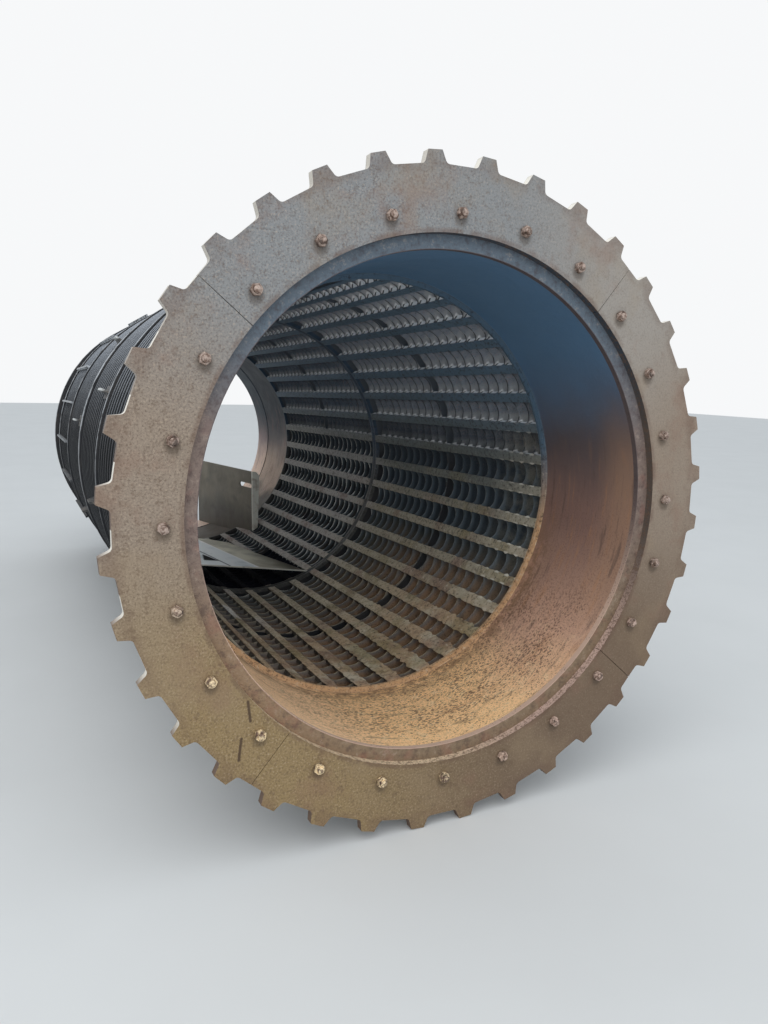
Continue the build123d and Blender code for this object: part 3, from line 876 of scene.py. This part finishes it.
# Weld beads: where shells meet flanges, and the butt weld between discharge shell and collar.
# Rippled round beads of rod weld, dark with a little rust.
collar_start = 4.464
bead = 0.006
bead_places = [(shell_outer, flange_back, bead), (shell_outer, bay_1_start - shell_flange, bead),
               (shell_outer, bay_2_end + shell_flange, bead),
               (shell_outer, collar_start - shell_flange, bead), (shell_outer, collar_start, bead),
               (shell_bore, collar_start, 0.0035), (shell_bore, bay_1_start, 0.004)]


def weld_bead(radius, y, size):
    """A ring of weld over turn and section angle: its section's radius swells and falls with the
    ripples, size (1 + 0.16 |cos(ripple)| + waves), and its middle wanders a little along the axis."""
    turns, sections = 480, 6
    turn = np.linspace(0, 2 * pi, turns, endpoint=False)
    section = np.linspace(0, 2 * pi, sections, endpoint=False)
    swell = 1 + 0.16 * np.abs(np.cos(turn * 190)) + 0.10 * np.sin(turn * 23 + radius * 90)
    reach = size * swell[:, None]
    middle = y + 0.0008 * np.sin(turn * 17 + y * 40)
    points = around(radius + reach * np.cos(section), turn[:, None],
                    middle[:, None] + reach * np.sin(section))
    closed = np.concatenate([points, points[:1]])
    return closed.reshape(-1, 3), grid_faces(turns + 1, sections)


points, faces = joined([weld_bead(*place) for place in bead_places])
make_piece("ring_welds", points, faces, ring_plate, 60)


# Upright plate and bent sheet inside the second bay, dull grey sheet metal, dusty, unpainted.
# The plate stands on the bars by the discharge end; the sheet lies across the bottom of the bay.
plate_front = 3.565
sheet_front = 2.238
crease_x = 0.036
crease_slant = 0.19
tear_tip = (-0.223, 2.573)


def plate_finish():
    """Dull olive-grey film in soft clouds; the folded front edge is pale, a painted highlight."""
    f = Finish("plate_steel")
    tone = f.mix((116, 108, 90), (142, 133, 112), f.cloud(4.0, 4, 2.0).rise(0.35, 0.68))
    tone = f.mix(tone, (70, 64, 54), f.cloud(7.0, 5, 9.0, (1, 0.5, 1)).rise(0.52, 0.7) * 0.5)
    tone = f.mix(tone, (52, 48, 42), f.z.rise(-0.42, -0.60) * 0.6)
    # Painted highlight on the folded front edge.
    pale = f.mix((255, 252, 240), (216, 206, 190), f.cloud(20.0, 4, 5.0).rise(0.5, 0.7))
    tone = f.mix(tone, pale, f.y.rise(plate_front + 0.017, plate_front + 0.011))
    return f.done(tone, f.cloud(8.0, 4, 4.0) * 0.25 + 0.4, 0.2, f.cloud(30.0, 4, 6.0), 0.0012)


def sheet_finish():
    """Beige-grey sheet to the right of a slanting crease drawn as a painted highlight, bluish white
    to its left as painted light. A torn wedge, painted dark as shade, widens from its tip towards the
    front, and the front edge has a painted highlight."""
    f = Finish("bent_sheet_steel")
    right = f.mix((226, 220, 198), (182, 176, 156), f.cloud(5.0, 5, 2.0).rise(0.4, 0.65))
    right = f.mix(right, (78, 74, 62), f.x.rise(0.04, 0.28))
    # Painted light: the left side bluish white, as if facing the sky.
    left = f.mix((244, 248, 248), (184, 194, 198), f.cloud(4.0, 5, 12.0).rise(0.45, 0.7))
    crease = f.x + (f.y - sheet_front) * crease_slant - crease_x
    tone = f.mix(left, right, crease.rise(-0.004, 0.004))
    second = crease + 0.17
    tone = f.mix(tone, (70, 78, 86), second.math("ABSOLUTE").rise(0.009, 0.003))
    # Painted highlight along the crease.
    tone = f.mix(tone, (255, 255, 252), crease.math("ABSOLUTE").rise(0.014, 0.005))
    wedge = tear_tip[1] - f.y
    aside = f.x - tear_tip[0]
    tear = (aside - wedge * 0.30).rise(0.006, -0.006) * (aside + wedge * 0.18).rise(-0.006, 0.006)
    # Painted shade: the torn wedge is dark where the hollow under the sheet shows.
    tear_shade = tear * wedge.rise(0.0, 0.02) * wedge.rise(0.21, 0.18)
    tone = f.mix(tone, (16, 18, 22), tear_shade)
    # Painted highlight along the front edge.
    tone = f.mix(tone, (208, 206, 196), f.y.rise(sheet_front + 0.008, sheet_front + 0.0015))
    tone = f.mix(tone, (58, 54, 48), f.cloud(16.0, 5, 20.0).rise(0.62, 0.76) * 0.5)
    dull = tear_shade * 0.5 + f.x.rise(0.04, 0.28) * 0.3
    gloss = f.cloud(8.0, 4, 4.0) * 0.25 + 0.34 + dull
    return f.done(tone, gloss, 0.25, f.cloud(30.0, 4, 6.0), 0.0012)


dress(plate_finish(), "deflector_plate")
dress(sheet_finish(), "liner_sheet")


# Stage: a pale level floor, a pale surround for the camera and for reflections, and soft light.
# Two broad lamps above and in front stand for an overcast sky, whose own light fills the shadows.
def stage_floor():
    """A square of floor 60 m wide, a little mottled so that shadows read on it."""
    mesh = bpy.data.meshes.new("floor")
    half = 30.0
    mesh.from_pydata([(-half, -half, 0), (half, -half, 0), (half, half, 0), (-half, half, 0)], [],
                     [(0, 1, 2, 3)])
    floor = bpy.data.objects.new("floor", mesh)
    bpy.context.scene.collection.objects.link(floor)
    f = Finish("floor_pale")
    tone = f.mix((206, 206, 204), (214, 214, 212), f.cloud(1.5, 3, 1.0))
    mesh.materials.append(f.done(tone, 0.9, 0.0, f.cloud(8.0, 2, 1.0), 0.001))


def surround():
    """The world: nearly white to the camera, in reflections and through clear material, elsewhere
    a soft blue-white sky. The white share is the largest of the shares of those kinds of ray."""
    world = bpy.data.worlds.new("overcast")
    bpy.context.scene.world = world
    n = Nodes(world)
    ray = n.node("ShaderNodeLightPath", out="Is Camera Ray")
    share = ray.math("MAXIMUM", ray.beside("Is Glossy Ray"))
    share = share.math("MAXIMUM", ray.beside("Is Transmission Ray"))
    sky = n.node("ShaderNodeBackground", {}, {"Color": (0.86, 0.93, 1.0, 1.0), "Strength": 0.9})
    white = n.node("ShaderNodeBackground", {}, {"Color": (0.93, 0.94, 0.95, 1.0), "Strength": 1.0})
    both = n.node("ShaderNodeMixShader", {}, {0: share, 1: sky, 2: white})
    n.node("ShaderNodeOutputWorld", {}, {"Surface": both})


def soft_lamp(name, location, target, size, power):
    """A square white lamp that faces a target point."""
    lamp = bpy.data.lights.new(name, "AREA")
    lamp.shape = "SQUARE"
    lamp.size, lamp.energy = size, power
    holder = bpy.data.objects.new(name, lamp)
    holder.location = location
    holder.rotation_mode = "QUATERNION"
    holder.rotation_quaternion = (Vector(target) - Vector(location)).to_track_quat("-Z", "Y")
    bpy.context.scene.collection.objects.link(holder)


stage_floor()
surround()
soft_lamp("sky_lamp", (-3.0, -5.0, 7.5), (0.0, 0.0, 0.9), 7.0, 260.0)
soft_lamp("front_lamp", (-1.5, -8.5, 3.0), (0.0, -2.0, 0.9), 5.0, 60.0)

# Camera at the photograph's standpoint, found from the ring of bolts and the bars.
# It stands left of the sprocket at eye height and looks along the drum, a little down.
eye = placed(np.array([-1.2578, -2.0786, 0.3590]))
looks = placed(np.array([0.4160, 0.8948, -0.1621])) - drum_origin
upright = placed(np.array([0.0552, 0.1531, 0.9867])) - drum_origin
camera = bpy.data.cameras.new("camera")
camera.sensor_fit = "AUTO"
camera.sensor_width = 36.0
camera.lens = 27.04
camera.shift_x = 0.0153
camera.shift_y = 0.0099
camera.dof.use_dof = False
camera_holder = bpy.data.objects.new("camera", camera)
back = -Vector(looks).normalized()
right = Vector(upright).cross(back).normalized()
above = back.cross(right)
turned = Matrix((right, above, back)).transposed().to_4x4()
camera_holder.matrix_world = Matrix.Translation(Vector(eye)) @ turned
bpy.context.scene.collection.objects.link(camera_holder)
bpy.context.scene.camera = camera_holder
bpy.context.scene.view_settings.view_transform = "Standard"
